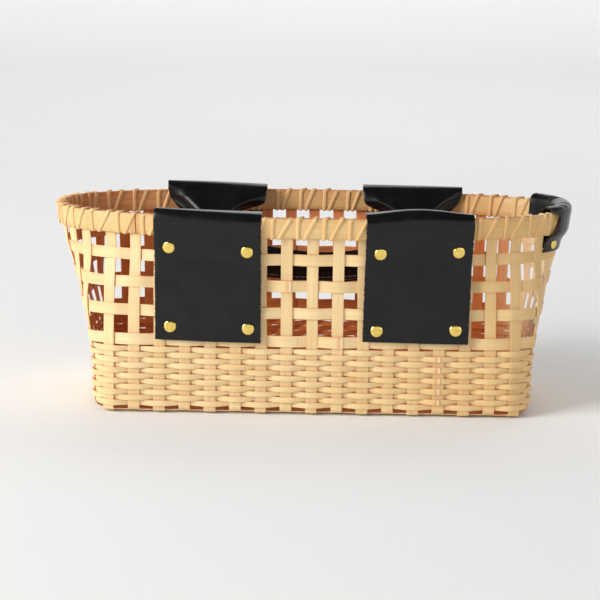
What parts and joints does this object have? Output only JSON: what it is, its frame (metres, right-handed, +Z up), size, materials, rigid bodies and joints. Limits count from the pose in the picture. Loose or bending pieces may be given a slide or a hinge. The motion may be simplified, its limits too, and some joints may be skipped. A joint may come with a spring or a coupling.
{
  "type": "basket bag",
  "caption": "Open woven bamboo basket with a lashed oval rim, riveted leather flaps, a leather rim sleeve and two leather loop handles that hang inside.",
  "frame": {"origin": "middle of the woven base, on the surface the basket stands on", "axes": "+X along the basket towards the leather sleeve, -Y the front, +Z up"},
  "size_m": [0.4175, 0.1696, 0.1634],
  "materials": {
    "bamboo": "varnished split bamboo",
    "cane": "varnished cane strand",
    "black_leather": "smooth, semi-gloss",
    "brass": "polished"
  },
  "bodies": {
    "basket": {"cross_strip_1": "bamboo", "cross_strip_2": "bamboo", "cross_strip_3": "bamboo", "cross_strip_4": "bamboo", "cross_strip_5": "bamboo", "cross_strip_6": "bamboo", "cross_strip_7": "bamboo", "cross_strip_8": "bamboo", "cross_strip_9": "bamboo", "cross_strip_10": "bamboo", "cross_strip_11": "bamboo", "cross_strip_12": "bamboo", "cross_strip_13": "bamboo", "cross_strip_14": "bamboo", "cross_strip_15": "bamboo", "cross_strip_16": "bamboo", "cross_strip_17": "bamboo", "length_strip_1": "bamboo", "length_strip_2": "bamboo", "length_strip_3": "bamboo", "length_strip_4": "bamboo", "length_strip_5": "bamboo", "length_strip_6": "bamboo", "length_strip_7": "bamboo", "wide_weaver_1": "bamboo", "wide_weaver_2": "bamboo", "wide_weaver_3": "bamboo", "wide_weaver_4": "bamboo", "narrow_weaver_1": "bamboo", "narrow_weaver_2": "bamboo", "narrow_weaver_3": "bamboo", "narrow_weaver_4": "bamboo", "narrow_weaver_5": "bamboo", "narrow_weaver_6": "bamboo", "narrow_weaver_7": "bamboo", "narrow_weaver_8": "bamboo", "narrow_weaver_9": "bamboo", "narrow_weaver_10": "bamboo", "narrow_weaver_11": "bamboo", "outer_rim_hoop": "bamboo", "inner_rim_hoop": "bamboo", "rim_lashing": "cane", "front_left_flap": "black_leather", "front_right_flap": "black_leather", "back_left_flap": "black_leather", "back_right_flap": "black_leather", "front_left_rivet_1": "brass", "front_left_rivet_2": "brass", "front_left_rivet_3": "brass", "front_left_rivet_4": "brass", "front_right_rivet_1": "brass", "front_right_rivet_2": "brass", "front_right_rivet_3": "brass", "front_right_rivet_4": "brass", "end_sleeve": "black_leather", "sleeve_rivet_1": "brass", "sleeve_rivet_2": "brass"},
    "front_handle": {"front_handle": "black_leather"},
    "back_handle": {"back_handle": "black_leather"}
  },
  "joints": [
    {"name": "front_handle_swing", "type": "hinge", "parent": "basket", "child": "front_handle", "pos_m": [0, -0.05828, 0.157], "axis": [1, 0, 0], "range_deg": [-38, 142]},
    {"name": "back_handle_swing", "type": "hinge", "parent": "basket", "child": "back_handle", "pos_m": [0, 0.05828, 0.157], "axis": [-1, 0, 0], "range_deg": [-10, 170]}
  ]
}
